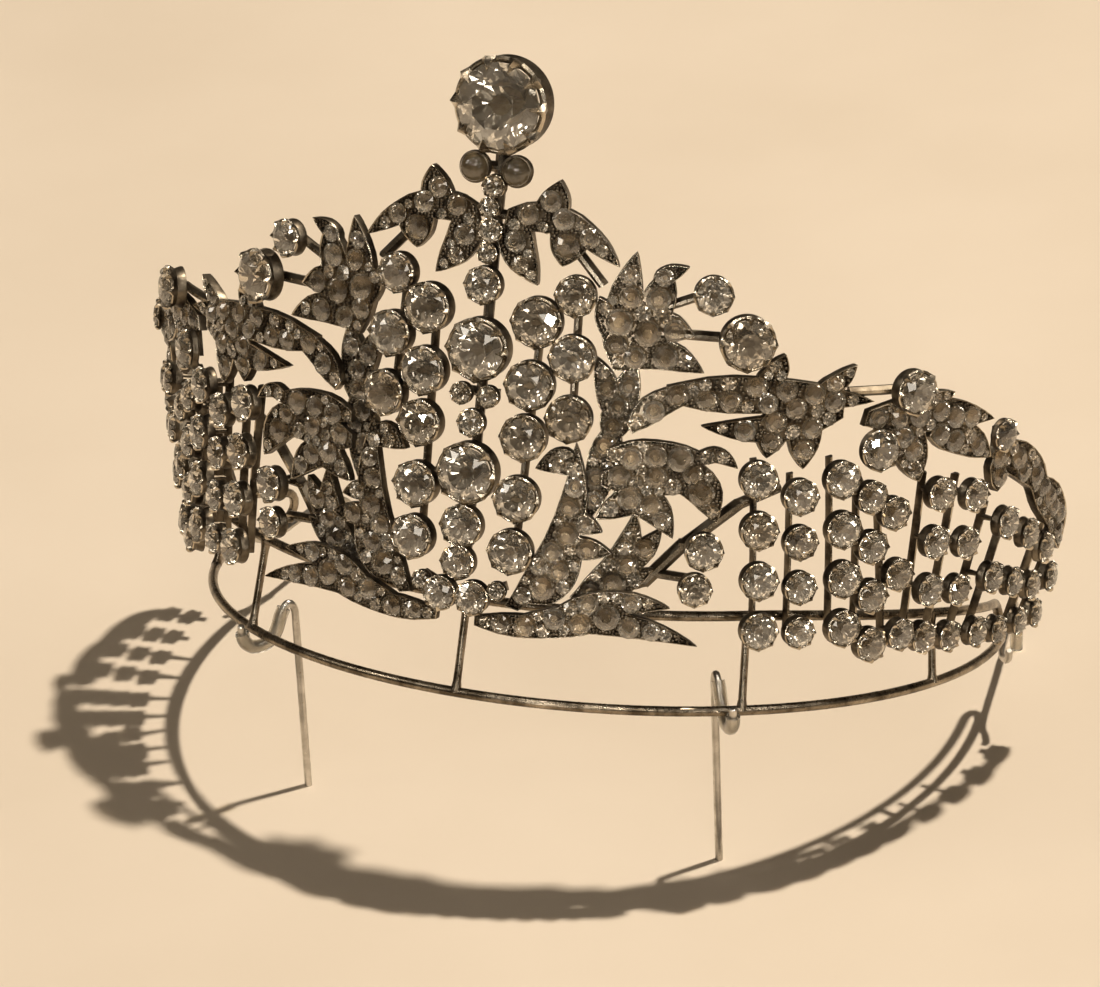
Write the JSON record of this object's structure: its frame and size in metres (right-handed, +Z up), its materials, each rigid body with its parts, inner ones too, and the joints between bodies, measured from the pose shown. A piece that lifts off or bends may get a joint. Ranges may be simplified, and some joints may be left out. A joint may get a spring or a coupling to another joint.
{
  "type": "diamond tiara on wire display stand",
  "caption": "Open-back tiara of leaf sprays, upright strings and large cut stones on a two-rail band, resting on a bent-wire display stand.",
  "frame": {"origin": "middle of the box round the tiara and its stand, at the level of the wire feet", "axes": "-Y is the front with the tall centre, +X the wearer's left, +Z up"},
  "size_m": [0.1548, 0.0974, 0.1283],
  "materials": {
    "oxidised_silver": "dark oxidised silver, polished on its edges",
    "stones_in_silver": "cut colourless stones set close in oxidised silver",
    "diamond": "clear cut stone",
    "smooth_stones": "smooth rounded stones in silver",
    "stand_wire": "plain steel wire with clear sleeves on the hooks"
  },
  "bodies": {
    "root": {"crest_left": "stones_in_silver", "crest_right": "stones_in_silver", "upper_leaf_left": "stones_in_silver", "upper_leaf_right": "stones_in_silver", "neck_leaf_left": "stones_in_silver", "neck_leaf_right": "stones_in_silver", "long_leaf_left": "stones_in_silver", "long_leaf_right": "stones_in_silver", "middle_leaf_left": "stones_in_silver", "middle_leaf_right": "stones_in_silver", "inner_leaf_left": "stones_in_silver", "inner_leaf_right": "stones_in_silver", "lower_leaf_left": "stones_in_silver", "lower_leaf_right": "stones_in_silver", "bottom_leaf_left": "stones_in_silver", "bottom_leaf_right": "stones_in_silver", "stem_left": "stones_in_silver", "stem_right": "stones_in_silver", "far_leaf_left": "stones_in_silver", "far_leaf_right": "stones_in_silver", "end_leaf_left": "stones_in_silver", "end_leaf_right": "stones_in_silver", "string_a_left": "stones_in_silver", "string_a_right": "stones_in_silver", "string_b_left": "stones_in_silver", "string_b_right": "stones_in_silver", "string_c_left": "stones_in_silver", "string_c_right": "stones_in_silver", "string_d_left": "stones_in_silver", "string_d_right": "stones_in_silver", "string_e_left": "stones_in_silver", "string_e_right": "stones_in_silver", "string_f_left": "stones_in_silver", "string_f_right": "stones_in_silver", "string_g_left": "stones_in_silver", "string_g_right": "stones_in_silver", "string_h_left": "stones_in_silver", "string_h_right": "stones_in_silver", "string_i_left": "stones_in_silver", "string_i_right": "stones_in_silver", "inner_string_left": "stones_in_silver", "inner_string_right": "stones_in_silver", "outer_string_left": "stones_in_silver", "outer_string_right": "stones_in_silver", "centre_drop": "stones_in_silver", "centre_bud": "stones_in_silver", "centre_tail": "stones_in_silver", "foot_pair": "stones_in_silver", "smooth_pair": "smooth_stones", "rail_frame": "oxidised_silver", "top_setting": "oxidised_silver", "top_stone": "diamond", "upper_centre_setting": "oxidised_silver", "upper_centre_stone": "diamond", "lower_centre_setting": "oxidised_silver", "lower_centre_stone": "diamond", "stand_leg_1": "stand_wire", "stand_leg_2": "stand_wire", "stand_leg_3": "stand_wire", "stand_leg_4": "stand_wire"}
  },
  "joints": []
}
